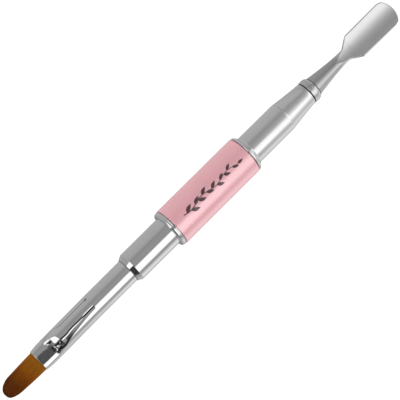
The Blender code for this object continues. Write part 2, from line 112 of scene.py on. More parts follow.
# The blade.
BLADE_HALF_WIDTH = 4.38 * MM
BLADE_HALF_THICKNESS = 0.45 * MM
BLADE_HOLLOW_RADIUS = 8.5 * MM
BLADE_END_RADIUS = 5.1 * MM
BLADE_DROP = 0.5 * MM

TURN_STEPS = 160
SUPPORT = 0.04 * MM     # from a corner to the extra points that keep its shading flat
MERGE = 0.0002 * MM     # points closer than this become one


def mix(a, b, share):
    return a + (b - a) * share


def clamp(value, low=0.0, high=1.0):
    return min(max(value, low), high)


def smooth_step(share):
    share = clamp(share)
    return share * share * (3 - 2 * share)


# ------ meshes

def grid_faces(rows, columns, start=0, close_rows=False):
    """Quads over a grid of points, closed round each row of columns, and from the last row to the first."""
    faces = []
    for i in range(rows if close_rows else rows - 1):
        below, above = start + i * columns, start + (i + 1) % rows * columns
        for j in range(columns):
            k = (j + 1) % columns
            faces.append((below + j, below + k, above + k, above + j))
    return faces


def capped_faces(rows, columns, start=0):
    """Quads over a grid of points, closed round each row, with one face over each end."""
    last = start + (rows - 1) * columns
    caps = [tuple(range(start, start + columns)), tuple(reversed(range(last, last + columns)))]
    return grid_faces(rows, columns, start) + caps


def add_object(name, data):
    """A new object in the scene, for a mesh or a camera."""
    piece = bpy.data.objects.new(name, data)
    bpy.context.scene.collection.objects.link(piece)
    return piece


def make_mesh(name, points, faces, sharp_degrees=35):
    """A smooth-shaded mesh object on the tool's axis, with its coincident points merged."""
    form = bmesh.new()
    verts = [form.verts.new((x, y, z + AXIS_Z)) for x, y, z in points]
    for face in faces:
        form.faces.new([verts[i] for i in face])
    bmesh.ops.remove_doubles(form, verts=form.verts, dist=MERGE)
    bmesh.ops.recalc_face_normals(form, faces=form.faces)
    mesh = bpy.data.meshes.new(name)
    form.to_mesh(mesh)
    form.free()
    mesh.shade_smooth()
    mesh.set_sharp_from_angle(angle=math.radians(sharp_degrees))
    return add_object(name, mesh)


def arc(centre_x, centre_r, radius, start, end, steps):
    """Points of an arc in the (x, r) plane; angles in degrees, 0 towards +X and 90 outwards."""
    angles = [math.radians(start + (end - start) * i / steps) for i in range(steps + 1)]
    return [(centre_x + radius * math.cos(a), centre_r + radius * math.sin(a)) for a in angles]


def line(start, end, steps):
    """Points between two (x, r) points, without the two."""
    shares = [i / steps for i in range(1, steps)]
    return [(mix(start[0], end[0], share), mix(start[1], end[1], share)) for share in shares]


def supported(outline):
    """The closed outline with a point added close to each end of every long run."""
    points = []
    for i, (x0, r0) in enumerate(outline):
        x1, r1 = outline[(i + 1) % len(outline)]
        length = math.hypot(x1 - x0, r1 - r0)
        points.append((x0, r0))
        if length > 6 * SUPPORT:
            share = SUPPORT / length
            points.append((mix(x0, x1, share), mix(r0, r1, share)))
            points.append((mix(x1, x0, share), mix(r1, r0, share)))
    return points


def turned_points(outline):
    angles = [math.tau * j / TURN_STEPS for j in range(TURN_STEPS)]
    return [(x, -r * math.sin(a), r * math.cos(a)) for x, r in outline for a in angles]


def turned(name, outline):
    """A piece turned about the tool's axis from a closed outline of (x, radius) points."""
    outline = supported(outline)
    return make_mesh(name, turned_points(outline), grid_faces(len(outline), TURN_STEPS, close_rows=True))


# ------ materials

class Nodes:
    """The node tree of a material or a world, with the nodes that both are made from."""

    def __init__(self, owner):
        owner.use_nodes = True
        self.nodes = owner.node_tree.nodes
        self.links = owner.node_tree.links

    def put(self, value, socket):
        """Link a node's output to a socket, or set the socket to a number or colour."""
        if isinstance(value, bpy.types.NodeSocket):
            self.links.new(value, socket)
        elif isinstance(value, tuple) and len(value) == 3 and socket.type == "RGBA":
            socket.default_value = (*value, 1.0)
        else:
            socket.default_value = value

    def math(self, operation, *values):
        node = self.nodes.new("ShaderNodeMath")
        node.operation = operation
        for value, socket in zip(values, node.inputs):
            self.put(value, socket)
        return node.outputs["Value"]

    def spread(self, value, low, high, new_low=0.0, new_high=1.0, how="LINEAR"):
        """Map a range of values to another range, held at its ends."""
        node = self.nodes.new("ShaderNodeMapRange")
        node.interpolation_type = how
        for given, socket in zip((value, low, high, new_low, new_high), node.inputs):
            self.put(given, socket)
        return node.outputs["Result"]


class Shader(Nodes):
    """A material, with the nodes that only materials have."""

    def __init__(self, name, **constants):
        self.material = bpy.data.materials.new(name)
        super().__init__(self.material)
        self.shader = self.nodes["Principled BSDF"]
        for socket, value in constants.items():
            self.shader.inputs[socket.replace("_", " ")].default_value = value

    def set(self, socket, value):
        self.put(value, self.shader.inputs[socket])

    def coords(self, stretch=(1.0, 1.0, 1.0)):
        """Object coordinates in metres, stretched along each axis."""
        place = self.nodes.new("ShaderNodeTexCoord")
        mapping = self.nodes.new("ShaderNodeMapping")
        mapping.inputs["Scale"].default_value = stretch
        self.links.new(place.outputs["Object"], mapping.inputs["Vector"])
        return mapping.outputs["Vector"]

    def noise(self, scale, stretch=(1.0, 1.0, 1.0), detail=3.0, roughness=0.5):
        """Noise with about scale bumps in a metre."""
        texture = self.nodes.new("ShaderNodeTexNoise")
        texture.inputs["Scale"].default_value = scale
        texture.inputs["Detail"].default_value = detail
        texture.inputs["Roughness"].default_value = roughness
        self.links.new(self.coords(stretch), texture.inputs["Vector"])
        return texture.outputs["Fac"]

    def attribute(self, name):
        node = self.nodes.new("ShaderNodeAttribute")
        node.attribute_name = name
        return node.outputs["Fac"]

    def blend(self, share, a, b):
        node = self.nodes.new("ShaderNodeMix")
        node.data_type = "RGBA"
        for given, socket in zip((share, a, b), (node.inputs[0], node.inputs[6], node.inputs[7])):
            self.put(given, socket)
        return node.outputs[2]

    def bump(self, height, distance):
        node = self.nodes.new("ShaderNodeBump")
        node.inputs["Distance"].default_value = distance
        self.links.new(height, node.inputs["Height"])
        self.set("Normal", node.outputs["Normal"])


LENGTHWISE = (0.03, 1.0, 1.0)


def make_chrome(name, value=0.62, roughness=0.05, painted_shade=False):
    """Plated metal with faint polishing marks, a few dull patches and a slightly uneven surface."""
    s = Shader(name, Metallic=1.0)
    patches = s.noise(260.0, detail=4.0)
    marks = s.noise(9000.0, LENGTHWISE, detail=2.0)
    tint = s.spread(patches, 0.3, 0.7)
    base = s.blend(tint, (value * 0.98,) * 3, (value * 1.02, value * 1.02, value * 1.03))
    # With painted_shade the "crease" attribute darkens the base to near black: painted shade in the ferrule's
    # creases and at the sleeve's mouth, and painted reflection of dark surroundings.
    if painted_shade:
        base = s.blend(s.attribute("crease"), base, (0.012, 0.012, 0.013))
        s.set("Specular IOR Level", 0.0)
    s.set("Base Color", base)
    dull = s.spread(patches, 0.45, 0.8, roughness, roughness + 0.05)
    s.set("Roughness", s.math("ADD", dull, s.spread(marks, 0.55, 0.8, 0.0, 0.05)))
    s.bump(s.math("ADD", marks, s.math("MULTIPLY", patches, 4.0)), 0.0000004)
    return s.material


def make_pink():
    """Pink anodised tube under a clear coat: fine metal flake and a very slight orange peel."""
    s = Shader("pink_anodised", Coat_Weight=1.0, Coat_Roughness=0.2, Coat_IOR=2.7, Metallic=0.1)
    flake = s.noise(16000.0, detail=1.0)
    cloud = s.noise(120.0, detail=3.0)
    base = s.blend(s.spread(cloud, 0.3, 0.7), (0.74, 0.30, 0.345), (0.78, 0.325, 0.37))
    s.set("Base Color", s.blend(s.spread(flake, 0.5, 0.75, 0.0, 0.25), base, (0.82, 0.5, 0.55)))
    s.set("Roughness", s.spread(flake, 0.3, 0.7, 0.34, 0.46))
    s.bump(s.math("ADD", s.noise(900.0, detail=2.0), s.math("MULTIPLY", flake, 0.1)), 0.0000006)
    return s.material


def make_satin_steel(name, shank_value, blade_value, roughness):
    """Steel with a fine lengthwise grain and darker handling marks, brighter where the blade is ground."""
    s = Shader(name, Metallic=1.0)
    grain = s.noise(14000.0, LENGTHWISE, detail=3.0, roughness=0.7)
    cloud = s.noise(180.0, detail=4.0)
    ground = s.attribute("ground")
    tint = s.math("ADD", s.spread(grain, 0.3, 0.7, 0.0, 0.5), s.spread(cloud, 0.3, 0.7, 0.0, 0.5))
    dark = s.blend(ground, (shank_value * 0.95,) * 3, (blade_value * 0.95,) * 3)
    light = s.blend(ground, (shank_value * 1.05,) * 3, (blade_value * 1.05,) * 3)
    s.set("Base Color", s.blend(tint, dark, light))
    rough = s.spread(grain, 0.25, 0.75, roughness * 0.85, roughness * 1.15)
    s.set("Roughness", s.math("ADD", rough, s.spread(cloud, 0.4, 0.8, 0.0, 0.05)))
    s.bump(grain, 0.0000009)
    return s.material


def make_turned_metal(name, color, roughness, rings=True):
    """Machined metal with fine turning rings round the axis, or drawing lines along it."""
    s = Shader(name, Metallic=1.0)
    stretch = (1.0, 0.02, 0.02) if rings else LENGTHWISE
    lines = s.noise(9000.0, stretch, detail=2.0)
    cloud = s.noise(400.0, detail=3.0)
    dark = tuple(c * 0.72 for c in color)
    s.set("Base Color", s.blend(s.spread(cloud, 0.35, 0.75, 0.0, 0.6), color, dark))
    s.set("Roughness", s.spread(lines, 0.3, 0.7, roughness, roughness + 0.15))
    s.bump(lines, 0.000002)
    return s.material


def make_soft_plain(name, light, dark, roughness, scale, bump):
    """A dull or cast material: clouded colour, uneven roughness and a fine surface."""
    s = Shader(name)
    grain = s.noise(scale, detail=4.0)
    cloud = s.noise(scale * 0.12, detail=3.0)
    s.set("Base Color", s.blend(s.spread(cloud, 0.3, 0.7), light, dark))
    s.set("Roughness", s.spread(grain, 0.3, 0.7, roughness, roughness + 0.15))
    s.bump(grain, bump)
    return s.material


def make_ink():
    """Dark maroon print, a little uneven, under a clear coat."""
    s = Shader("print_ink", Coat_Weight=1.0, Coat_Roughness=0.14)
    speckle = s.noise(7000.0, detail=3.0)
    tint = s.spread(speckle, 0.35, 0.7)
    s.set("Base Color", s.blend(tint, (0.040, 0.010, 0.015), (0.075, 0.022, 0.03)))
    s.set("Roughness", s.spread(speckle, 0.3, 0.7, 0.3, 0.5))
    s.bump(speckle, 0.0000005)
    return s.material


def make_hair():
    """Golden brown hair, darker towards the tip: fine lengthwise streaks, and a shade for each strand."""
    s = Shader("hair", Specular_IOR_Level=0.22)
    s.set("Specular Tint", (1.0, 0.6, 0.15))
    along = s.attribute("along")
    shade = s.attribute("shade")
    streak = s.noise(9000.0, (0.02, 1.0, 1.0), detail=2.0)
    root, middle, tip = (0.34, 0.122, 0.009), (0.235, 0.049, 0.001), (0.082, 0.012, 0.003)
    light, dark = (0.36, 0.14, 0.012), (0.05, 0.012, 0.003)
    root_half = s.blend(s.spread(along, 0.0, 0.5), root, middle)
    base = s.blend(s.spread(along, 0.33, 0.72), root_half, tip)
    base = s.blend(s.spread(shade, 0.0, 1.0, 0.0, 0.3), base, light)
    s.set("Base Color", s.blend(s.spread(streak, 0.4, 0.75, 0.0, 0.45), base, dark))
    s.set("Roughness", s.spread(streak, 0.3, 0.7, 0.34, 0.5))
    s.bump(streak, 0.000004)
    return s.material


# ------ the handle

def make_barrel():
    chamfer = 0.14 * MM
    start, end = BARREL_X, BARREL_END_X
    outline = arc(end - chamfer, BARREL_RADIUS - chamfer, chamfer, 0, 90, 5)
    outline += arc(start + chamfer, BARREL_RADIUS - chamfer, chamfer, 90, 180, 5)
    outline += [(start, BARREL_BORE), (end, BARREL_BORE)]
    return turned("barrel_tube", outline)


def make_brush_collar():
    """The ring at the brush end: a small lip against the barrel, then a rounded corner to a flat face."""
    face = BARREL_X - 0.2 * MM
    lip_radius = COLLAR_RADIUS + 0.1 * MM
    bore = SLEEVE_RADIUS + PRESS
    spigot = BARREL_BORE - PRESS
    corner = 0.65 * MM
    edge = 0.04 * MM
    outline = [(BRUSH_SPIGOT_X, spigot), (face, spigot)]
    outline += arc(face - edge, lip_radius - edge, edge, 0, 90, 3)
    outline += [(face - 0.3 * MM, lip_radius - 0.02 * MM), (face - 0.42 * MM, COLLAR_RADIUS)]
    front = BRUSH_COLLAR_X + 0.25 * MM
    outline += arc(front + corner, COLLAR_RADIUS - corner, corner, 90, 180, 12)
    outline += [(front, bore + edge), (front + edge, bore), (BRUSH_SPIGOT_X, bore)]
    return turned("brush_end_ring", outline)


def make_spatula_collar():
    """The ring at the spatula end, whose flange falls to the sleeve in an S curve."""
    face = BARREL_END_X + 0.22 * MM
    lip_radius = COLLAR_RADIUS + 0.1 * MM
    bore = SLEEVE_RADIUS + PRESS
    spigot = BARREL_BORE - PRESS
    shoulder, foot, slope = 0.7 * MM, 0.55 * MM, 12
    shoulder_x, shoulder_r = face + 0.41 * MM, COLLAR_RADIUS - shoulder
    reach = (shoulder + foot) * math.cos(math.radians(slope))
    drop = (shoulder + foot) * math.sin(math.radians(slope))
    edge = 0.26 * MM
    outline = [(SPATULA_COLLAR_END_X, bore), (SPATULA_COLLAR_END_X, bore + 0.06 * MM)]
    outline += arc(shoulder_x + reach, shoulder_r + drop, foot, 250, 180 + slope, 10)
    outline += arc(shoulder_x, shoulder_r, shoulder, slope, 90, 14)
    outline += [(face + 0.36 * MM, COLLAR_RADIUS + 0.03 * MM)]
    outline += arc(face + edge, lip_radius - edge, edge, 90, 180, 10)
    outline += [(face, spigot), (SPATULA_SPIGOT_X, spigot), (SPATULA_SPIGOT_X, bore)]
    return turned("spatula_end_ring", outline)


def make_brush_sleeve():
    """The straight sleeve. Its mouth is coned, with a rounded rim round the ferrule."""
    cone_x = MOUTH_X + 1.6 * MM
    rim = 0.12 * MM
    mouth_radius = 4.0 * MM
    slope = math.degrees(math.atan2(SLEEVE_RADIUS - mouth_radius, cone_x - MOUTH_X))
    blend_radius = 0.6 * MM
    outline = [(BRUSH_SLEEVE_END_X, SLEEVE_RADIUS)]
    outline += arc(cone_x, SLEEVE_RADIUS - blend_radius, blend_radius, 90, 90 + slope, 8)
    outline += arc(MOUTH_X + rim, mouth_radius + 0.02 * MM - rim, rim, 90 + slope, 200, 6)
    outline += [(MOUTH_X + rim, SLEEVE_BORE), (BRUSH_SLEEVE_END_X, SLEEVE_BORE)]
    return turned("brush_sleeve_tube", outline)


def make_tapered_sleeve():
    """The other sleeve: straight, then tapering in a hollow curve to the groove before the bead."""
    taper_x = GROOVE_X - 10.1 * MM
    hollowness = 1.3
    shoulder = 0.9 * MM
    edge = 0.1 * MM
    recess_x = GROOVE_X - 0.5 * MM
    recess_radius = SEAL_RADIUS + 0.1 * MM
    steps = 40
    outline = arc(GROOVE_X - edge, TAPER_TIP_RADIUS - edge, edge, 0, 80, 4)
    for i in range(1, steps + 1):
        share = i / steps
        x = mix(GROOVE_X - edge, taper_x + shoulder, share)
        straight = (x - taper_x) / (GROOVE_X - edge - taper_x)
        sunk = (1 - straight) ** hollowness
        outline.append((x, mix(TAPER_TIP_RADIUS, SLEEVE_RADIUS, sunk)))
    outline.append((taper_x + 0.45 * shoulder, SLEEVE_RADIUS - 0.018 * MM))
    outline.append((taper_x, SLEEVE_RADIUS - 0.004 * MM))
    outline.append((taper_x - 0.4 * shoulder, SLEEVE_RADIUS))
    outline += [(TAPERED_SLEEVE_START_X, SLEEVE_RADIUS), (TAPERED_SLEEVE_START_X, SLEEVE_BORE)]
    outline += [(taper_x - 2.2 * MM, SLEEVE_BORE), (taper_x - 1.2 * MM, TAPER_BORE)]
    outline += [(recess_x, TAPER_BORE), (recess_x, recess_radius), (GROOVE_X, recess_radius)]
    return turned("tapered_sleeve_tube", outline)


def on_barrel(along, across, lift):
    """A point on the barrel's top, at a distance across it along its curve and lifted off its surface."""
    angle = across / BARREL_RADIUS
    radius = BARREL_RADIUS + lift
    return (along, -radius * math.sin(angle), radius * math.cos(angle))


def leaf_outline(length, width):
    """(distance, half width) along a pointed leaf, widest a little before its middle."""
    points = []
    steps = 9
    for i in range(steps + 1):
        share = i / steps
        points.append((length * share, width / 2 * math.sin(math.pi * share ** 0.8)))
    return points


def printed_strip(spine, widths):
    """Points and faces of a printed stroke, a film thick, along a spine of (along, across) points."""
    lift, sunk = 0.015 * MM, -0.03 * MM
    across = [(1.0, lift), (0.5, lift), (0.0, lift), (-0.5, lift), (-1.0, lift), (-1.0, sunk), (1.0, sunk)]
    points = []
    for i, ((x, y), width) in enumerate(zip(spine, widths)):
        before, after = spine[max(i - 1, 0)], spine[min(i + 1, len(spine) - 1)]
        run = Vector((after[0] - before[0], after[1] - before[1])).normalized()
        side = Vector((-run.y, run.x)) * max(width, 0.004 * MM)
        for share, height in across:
            points.append(on_barrel(x + side.x * share, y + side.y * share, height))
    return points, capped_faces(len(spine), len(across))


def make_sprig():
    """A plain leafy sprig printed along the barrel: a waving stem with leaves in turn on either side."""
    start, length, half_width = BARREL_X + 3.8 * MM, 22.6 * MM, 0.15 * MM
    wave, leaves, leaf_length, leaf_width = 0.45 * MM, 13, 3.0 * MM, 1.2 * MM
    lean = math.radians(38)
    steps = 60
    stem = []
    for i in range(steps + 1):
        share = i / steps
        stem.append((start + length * share, wave * math.sin(2.2 * math.tau * share)))
    strokes = [(stem, [half_width * mix(1.0, 0.5, i / steps) for i in range(steps + 1)])]
    for k in range(leaves):
        side = 1 if k % 2 else -1
        foot_index = 3 + int((steps - 5) * k / (leaves - 1))
        foot = stem[foot_index]
        scale = mix(1.0, 0.72, k / (leaves - 1))
        turn = lean * side if k < leaves - 1 else 0.0
        spine, widths = [], []
        for reach, half in leaf_outline(leaf_length * scale, leaf_width * scale):
            bend = turn * (1 - 0.35 * reach / leaf_length)
            spine.append((foot[0] + reach * math.cos(bend), foot[1] + reach * math.sin(bend)))
            widths.append(half)
        strokes.append((spine, widths))
    points, faces = [], []
    for spine, widths in strokes:
        more, quads = printed_strip(spine, widths)
        faces += [tuple(i + len(points) for i in quad) for quad in quads]
        points += more
    return make_mesh("printed_sprig", points, faces)


# ------ the ferrule

# Angles are in degrees from the top. The flute's lower edge and the facet's edge move along the crimp.
CREASE_ANGLE = 2.4
CREASE_HALF_WIDTH, CREASE_DEPTH = 2.0, 0.05 * MM
STEP_WIDTH, STEP_DEPTH = 6.5, 0.13 * MM
FACET_ANGLE = -47.0
FACET_HALF_WIDTH, FACET_DEPTH = 2.5, 0.025 * MM
FLAT_FOOT_X = LIP_X + 5.85 * MM
FLAT_HALF_HEIGHT = 2.12 * MM
FOLD_LENGTH = 3.7 * MM


def hill(value, middle, reach, steepness=1.0):
    """1 at the middle and 0 from the reach outwards on either side; more steepness gives it a wider top."""
    return clamp(steepness * (1.0 - abs(value - middle) / reach))


def crimp_share(x):
    """How far along the crimp a station is, from 0 where it starts to 1 at the top of the fold."""
    return clamp((CRIMP_X - x) / (CRIMP_X - FOLD_X))


def crease_angle(share):
    """The crease's place in degrees from the top. It wavers a little before the fold."""
    waver = 1.3 * math.sin(math.pi * clamp((share - 0.5) / 0.3))
    return CREASE_ANGLE - waver + 2.0 * math.sin(math.pi * clamp((share - 0.75) / 0.2))


def ridge_angle(share):
    """The lower edge of the pressed flute."""
    start, spread, flare = 16.3, 17.5, 6.0
    return start + spread * share ** 1.42 + flare * share ** 10


def facet_angle(share):
    """A faint upper facet edge, which bends outwards at the fold."""
    return FACET_ANGLE - 15.0 * smooth_step((share - 0.8) / 0.2)


def step_share(share):
    """The step on the crease's upper side: whole where the crimp starts, and gone before its middle."""
    return smooth_step(1.0 - (share - 0.26) / 0.16)


def crimped_radius(x, degrees):
    """The ferrule's radius where it is pressed: a hollow flute beside a crease, and round elsewhere."""
    onset = smooth_step((CRIMP_X - x) / (0.45 * MM))
    if onset == 0.0:
        return FERRULE_RADIUS
    share = crimp_share(x)
    crease, ridge = crease_angle(share), ridge_angle(share)
    drop = STEP_DEPTH * step_share(share)
    radius = FERRULE_RADIUS
    if crease <= degrees <= ridge:
        low, high = math.radians(crease), math.radians(ridge)
        y0, z0 = FERRULE_RADIUS * math.sin(low), FERRULE_RADIUS * math.cos(low) - drop
        y1, z1 = FERRULE_RADIUS * math.sin(high), FERRULE_RADIUS * math.cos(high)
        y = FERRULE_RADIUS * math.sin(math.radians(degrees))
        across = (y - y0) / (y1 - y0)
        fall, floor_slope, steep_share = (z0 - z1) / (y1 - y0), 0.06, 0.13
        extra = max(fall - floor_slope, 0.0)
        steep = (1 - math.exp(-across / steep_share)) / (1 - math.exp(-1 / steep_share))
        z = z0 - (y1 - y0) * ((fall - extra) * across + extra * steep)
        radius = math.hypot(y, z)
    elif crease - STEP_WIDTH < degrees < crease:
        radius -= drop * ((degrees - crease + STEP_WIDTH) / STEP_WIDTH) ** 1.35
    radius -= CREASE_DEPTH * hill(degrees, crease, CREASE_HALF_WIDTH) * smooth_step((1.0 - share) / 0.08)
    radius -= FACET_DEPTH * hill(degrees, facet_angle(share), FACET_HALF_WIDTH)
    return mix(FERRULE_RADIUS, radius, onset)


def oval_radius(x, degrees):
    """The radius of the flattened stretch behind the lip: flat above and below, with round sides."""
    share = clamp((FLAT_FOOT_X - x) / (FLAT_FOOT_X - LIP_X))
    half_width = mix(FERRULE_RADIUS, LIP_HALF_WIDTH, share ** 2.8)
    half_height = mix(FLAT_HALF_HEIGHT, LIP_HALF_HEIGHT, share)
    angle = math.radians(degrees)
    wide = (math.sin(angle) / half_width) ** 4
    high = (math.cos(angle) / half_height) ** 2
    return math.sqrt(2 / (high + math.sqrt(high * high + 4 * wide)))


def fold_share(x, degrees):
    """How far the ferrule has risen from the flat to the round: a hollow foot, then a long round shoulder.

    The fold starts nearer the lip at the sides, and nearer still on the +Y side, where it is longer too.
    """
    side = math.sin(math.radians(degrees)) ** 2
    plus_y = smooth_step((-degrees - 22.0) / 26.0)
    side_lead, plus_y_lead = 0.9 * MM * side, 0.6 * MM * plus_y
    share = (x - FLAT_FOOT_X + side_lead + plus_y_lead) / (FOLD_LENGTH + plus_y_lead)
    foot, shoulder_power = 0.03 + 0.2 * side + 0.25 * plus_y, 2.6
    if share < foot:
        share = max(share + foot, 0.0) ** 2 / (4 * foot)
    return 1 - (1 - clamp(share)) ** shoulder_power


def ferrule_radius(x, degrees):
    """Both sides are pressed alike, so the lower half repeats the upper one turned by half a turn."""
    degrees = (degrees + 90) % 180 - 90
    radius = crimped_radius(x, degrees)
    risen = fold_share(x, degrees)
    if risen < 1.0:
        radius = mix(oval_radius(x, degrees), radius, risen)
        angle = math.radians(degrees)
        wave_size, wave_depth = 1.3 * MM, 0.012 * MM
        waves = noise.noise(Vector((x, radius * math.sin(angle), radius * math.cos(angle))) / wave_size)
        radius += wave_depth * waves * (1 - risen)
    return radius


def ferrule_shift(x):
    """How far the pressed end leans off the axis, towards -Y."""
    lean = mix(0.1, 1.0, clamp((CRIMP_X - x) / (CRIMP_X - LIP_X)))
    return LIP_SHIFT * lean * smooth_step((MOUTH_X - x) / (12 * MM))


def ferrule_angles():
    """Angles round the ferrule in degrees, close together at each crease."""
    angles = []
    fine, medium, coarse = 0.4, 0.8, 2.0
    for half in (0.0, 180.0):
        degrees = -90.0
        while degrees < 90.0 - 0.001:
            angles.append(degrees + half)
            from_crease = abs(degrees - CREASE_ANGLE)
            degrees += fine if from_crease < 4.4 else medium if from_crease < 65.0 else coarse
    return angles


def ferrule_stations():
    """Stations from the rear to the lip: sparse while it is round, dense where it is pressed and folded."""
    spans = [(FERRULE_REAR_X, MOUTH_X + 0.4 * MM, 6), (MOUTH_X + 0.2 * MM, MOUTH_X - 0.3 * MM, 10),
             (MOUTH_X - 0.5 * MM, CRIMP_X + 0.1 * MM, 14), (CRIMP_X + 0.06 * MM, CRIMP_X - 0.6 * MM, 14),
             (CRIMP_X - 0.7 * MM, FOLD_X + 0.6 * MM, 50), (FOLD_X + 0.5 * MM, FLAT_FOOT_X - 1.3 * MM, 64),
             (FLAT_FOOT_X - 1.5 * MM, LIP_X + 0.1 * MM, 16)]
    stations = []
    for start, end, steps in spans:
        stations += [mix(start, end, i / steps) for i in range(steps + 1)]
    return stations


def bent_angle(x, degrees):
    """Grid angles near the crease follow its wavering."""
    half = 180.0 if degrees >= 90.0 else 0.0
    near = smooth_step(1.0 - max(abs(degrees - half - CREASE_ANGLE) - 4.5, 0.0) / 15.0)
    return degrees + near * (crease_angle(crimp_share(x)) - CREASE_ANGLE)


def ferrule_ring(x, angles, inset):
    ring = []
    for degrees in angles:
        degrees = bent_angle(x, degrees)
        radius = ferrule_radius(x, degrees) - inset
        angle = math.radians(degrees)
        ring.append((x, -radius * math.sin(angle) - ferrule_shift(x), radius * math.cos(angle)))
    return ring


def make_ferrule():
    """A drawn tube, pressed and folded, with a rounded lip and an inner wall."""
    angles = ferrule_angles()
    stations = ferrule_stations()
    rings = [ferrule_ring(x, angles, 0.0) for x in stations]
    lip_radius, lip_depth = FERRULE_WALL / 2, 0.35 * FERRULE_WALL
    for degrees in range(0, 181, 20):
        angle = math.radians(degrees)
        x = LIP_X + lip_depth * (1 - math.sin(angle))
        rings.append(ferrule_ring(x, angles, lip_radius * (1 - math.cos(angle))))
    inner = [x for x in reversed(stations[::4]) if x > LIP_X + 0.3 * MM]
    rings += [ferrule_ring(x, angles, FERRULE_WALL) for x in inner]
    points = [point for ring in rings for point in ring]
    piece = make_mesh("ferrule_tube", points, grid_faces(len(rings), len(angles), close_rows=True), 50)
    # Painted shade and painted reflection, kept as an attribute for the ferrule's material.
    add_attribute(piece, "crease", [painted_crease_shade(vert.co) for vert in piece.data.vertices])
    return piece


def facet_painted_shade(x, degrees):
    """Painted shade on the facet's edge, strongest in a short mark near the start of the crimp."""
    mark = hill(x, CRIMP_X - 0.6 * MM, 0.7 * MM, 1.5)
    return mix(0.5, 1.0, mark) * hill(degrees, facet_angle(crimp_share(x)), mix(3.0, 5.0, mark), 1.6)


def ridge_painted_reflection(x, degrees):
    """Painted reflection of dark surroundings above the flute's lower edge, wider and stronger towards the
    fold.
    """
    share = crimp_share(x)
    reach = mix(3.0, 8.0, smooth_step((share - 0.7) / 0.3))
    along = smooth_step((share - 0.2) / 0.6) * smooth_step((x - FOLD_X + 2.2 * MM) / (0.8 * MM))
    return along * hill(degrees, ridge_angle(share) - 1.5, reach, 1.8)


def foot_painted_shade(place, degrees):
    """Painted shade at the fold's foot: spots in its middle, and an even line where it is pressed hardest."""
    x = place.x
    top_x = FOLD_X + 0.5 * MM
    if x >= top_x or not -45.0 < degrees < 44.0:
        return 0.0
    spots = clamp(0.75 + 0.9 * noise.noise(place / (0.45 * MM)))
    near_foot = smooth_step((x - FLAT_FOOT_X + 1.1 * MM) / (0.3 * MM)) * smooth_step((top_x - x) / (0.7 * MM))
    pressed = hill(x, FLAT_FOOT_X + 0.45 * MM, 0.42 * MM, 1.6) * clamp((degrees + 45.0) / 8.0)
    return max(spots * hill(degrees, 19.0, 26.0, 2.5) * near_foot, 0.55 * pressed)


def painted_crease_shade(place):
    """How much painted shade and painted reflection a point of the ferrule gets, from 0 to 1: in its creases
    and at the sleeve's mouth.
    """
    x = place.x
    # A painted shadow ring where the ferrule goes into the sleeve.
    if MOUTH_X - 0.2 * MM < x < MOUTH_X + 0.15 * MM:
        return 0.75
    if not FLAT_FOOT_X - 1.1 * MM < x < CRIMP_X:
        return 0.0
    y, z = -place.y - ferrule_shift(x), place.z - AXIS_Z
    degrees = (math.degrees(math.atan2(y, z)) + 90) % 180 - 90
    share = crimp_share(x)
    begins = smooth_step((CRIMP_X - x) / (0.3 * MM))
    ends = smooth_step((x - FOLD_X + 0.4 * MM) / (0.5 * MM))
    # Painted shade along the crease.
    crease_shade = hill(degrees, crease_angle(share) + 1.6 * step_share(share), 4.4, 2.2) * ends
    return max(crease_shade, facet_painted_shade(x, degrees), ridge_painted_reflection(x, degrees), foot_painted_shade(place, degrees)) * begins


# ------ the hair

def tuft_share(x):
    """How far along the hair a place is, from 0 at the lip to 1 at the tip."""
    return (LIP_X - x) / (LIP_X - TUFT_TIP_X)


def tuft_half_width(share):
    """The hair's half width at a share of its length from the lip, before the rounded end cuts it off."""
    return mix(TUFT_HALF_WIDTH, 0.84 * TUFT_HALF_WIDTH, share ** 1.4)


def tuft_half_height(share):
    return mix(TUFT_HALF_HEIGHT, 0.3 * TUFT_HALF_HEIGHT, share ** 1.2)


def tuft_crown(across):
    """The hair's thickness at a share across it, as a share of its thickness in the middle."""
    return math.sqrt(max(1 - abs(across) ** 2.6, 0.0))


def tuft_end(across):
    """Where the hair ends, at a share across it from -1 to 1. The end is a little fuller on the -Y side."""
    fullness = 3.4 if across > 0 else 2.2
    cut = 1 - math.sqrt(1 - 0.98 * min(abs(across), 1.0) ** fullness)
    return TUFT_TIP_X + 0.15 * MM + FILBERT_LENGTH * cut


def tuft_point(share, across, height):
    """A point of the tuft from shares of its length, of its width and of its thickness."""
    x = mix(LIP_X, TUFT_TIP_X, share)
    y = across * tuft_half_width(share) + TUFT_SHIFT
    return (x, -y, height * tuft_crown(across) * tuft_half_height(share))


def add_attribute(piece, name, values):
    attribute = piece.data.attributes.new(name, "FLOAT", "POINT")
    attribute.data.foreach_set("value", values)


def make_tuft_core():
    """The mass of the hair: a filbert body, finely ribbed lengthwise by the hairs in it."""
    rows, columns = 46, 220
    root = -0.05
    rng = random.Random(5)
    ribs = [rng.uniform(0.0, 1.0) for _ in range(columns)]
    points = []
    for i in range(rows):
        share = i / (rows - 1)
        for j in range(columns):
            angle = math.tau * j / columns
            across, height = math.sin(angle), math.cos(angle)
            at = mix(root, tuft_share(tuft_end(across * 0.985)) - 0.006 * ribs[j], share)
            rib = 0.94 + 0.05 * ribs[j]
            x = mix(LIP_X, TUFT_TIP_X, at)
            near = max(at, 0.0)
            y = across * tuft_half_width(near) * (0.97 + 0.02 * ribs[j]) + TUFT_SHIFT
            z = math.copysign(tuft_crown(across), height) * tuft_half_height(near) * rib
            if i == rows - 1:
                z *= 0.35
            points.append((x, -y, z))
    piece = make_mesh("tuft_core", points, capped_faces(rows, columns), 80)
    vertices = piece.data.vertices
    add_attribute(piece, "along", [clamp(tuft_share(vert.co.x)) for vert in vertices])
    add_attribute(piece, "shade", [0.15] * len(vertices))
    return piece


